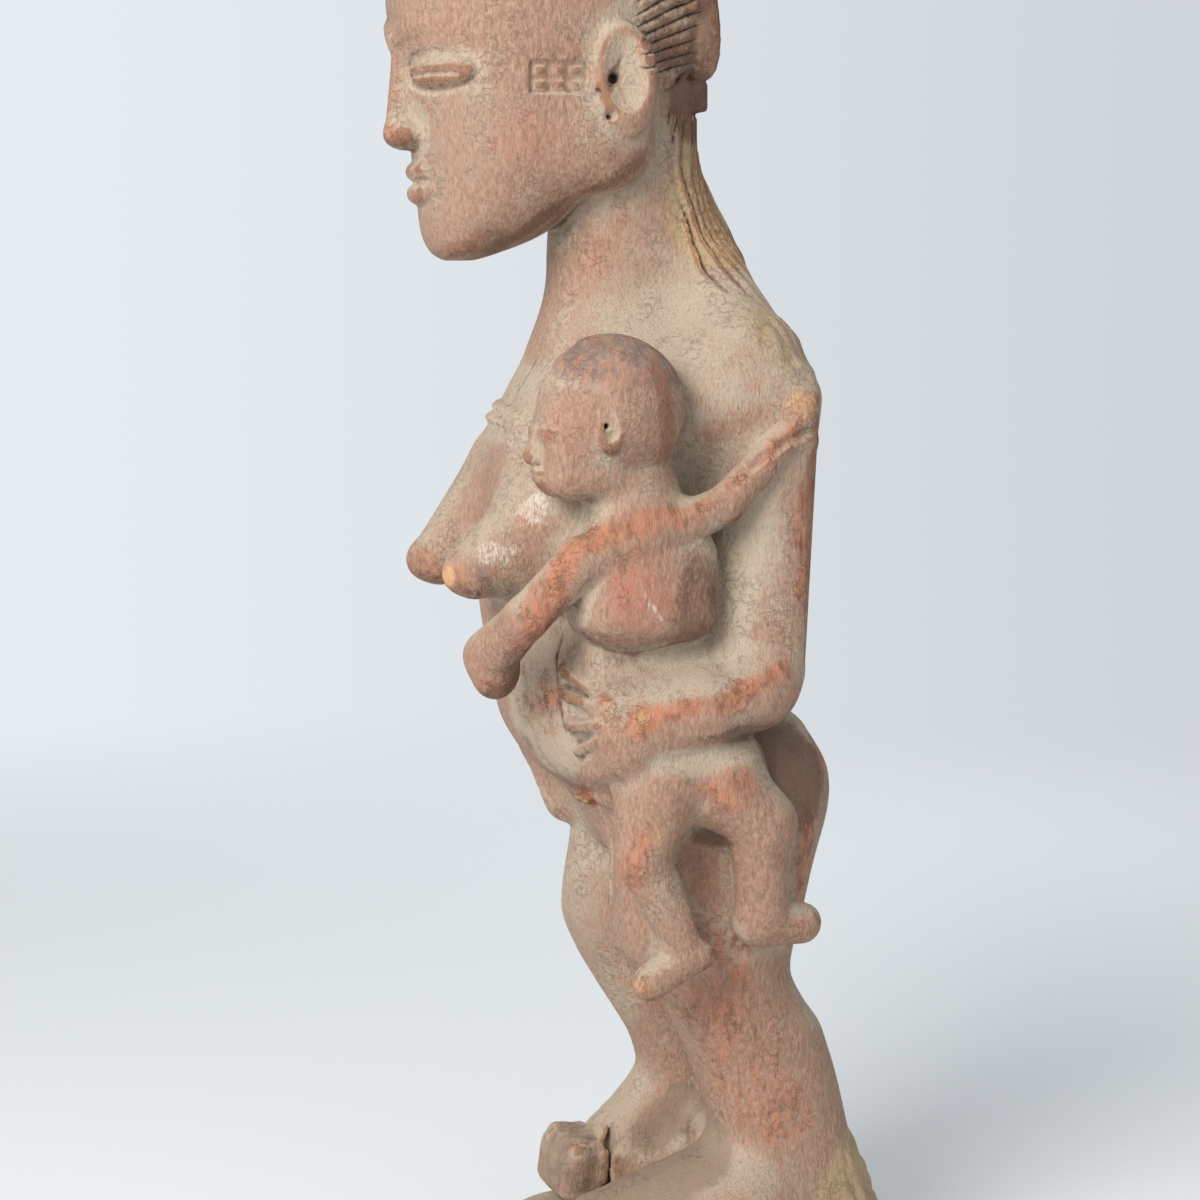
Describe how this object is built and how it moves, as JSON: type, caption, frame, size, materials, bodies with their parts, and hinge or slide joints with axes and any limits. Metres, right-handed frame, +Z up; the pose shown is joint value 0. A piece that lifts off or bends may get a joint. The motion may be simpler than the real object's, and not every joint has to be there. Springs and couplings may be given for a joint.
{
  "type": "carved wooden mother and child figure",
  "caption": "Tall wooden carving of a standing mother with a child on her hip, on a low base, with plaited hair swept back to a hoop.",
  "frame": {"origin": "middle of the underside of the whole figure's bounding box, on the ground", "axes": "+Z up; the mother faces -Y; the child sits on her left side, toward +X"},
  "size_m": [0.2418, 0.2706, 0.7553],
  "materials": {
    "weathered_wood": "matt hardwood with worn red-orange earth pigment and grey-beige dust"
  },
  "bodies": {
    "root": {"mother_and_child_figure": "weathered_wood"}
  },
  "joints": []
}
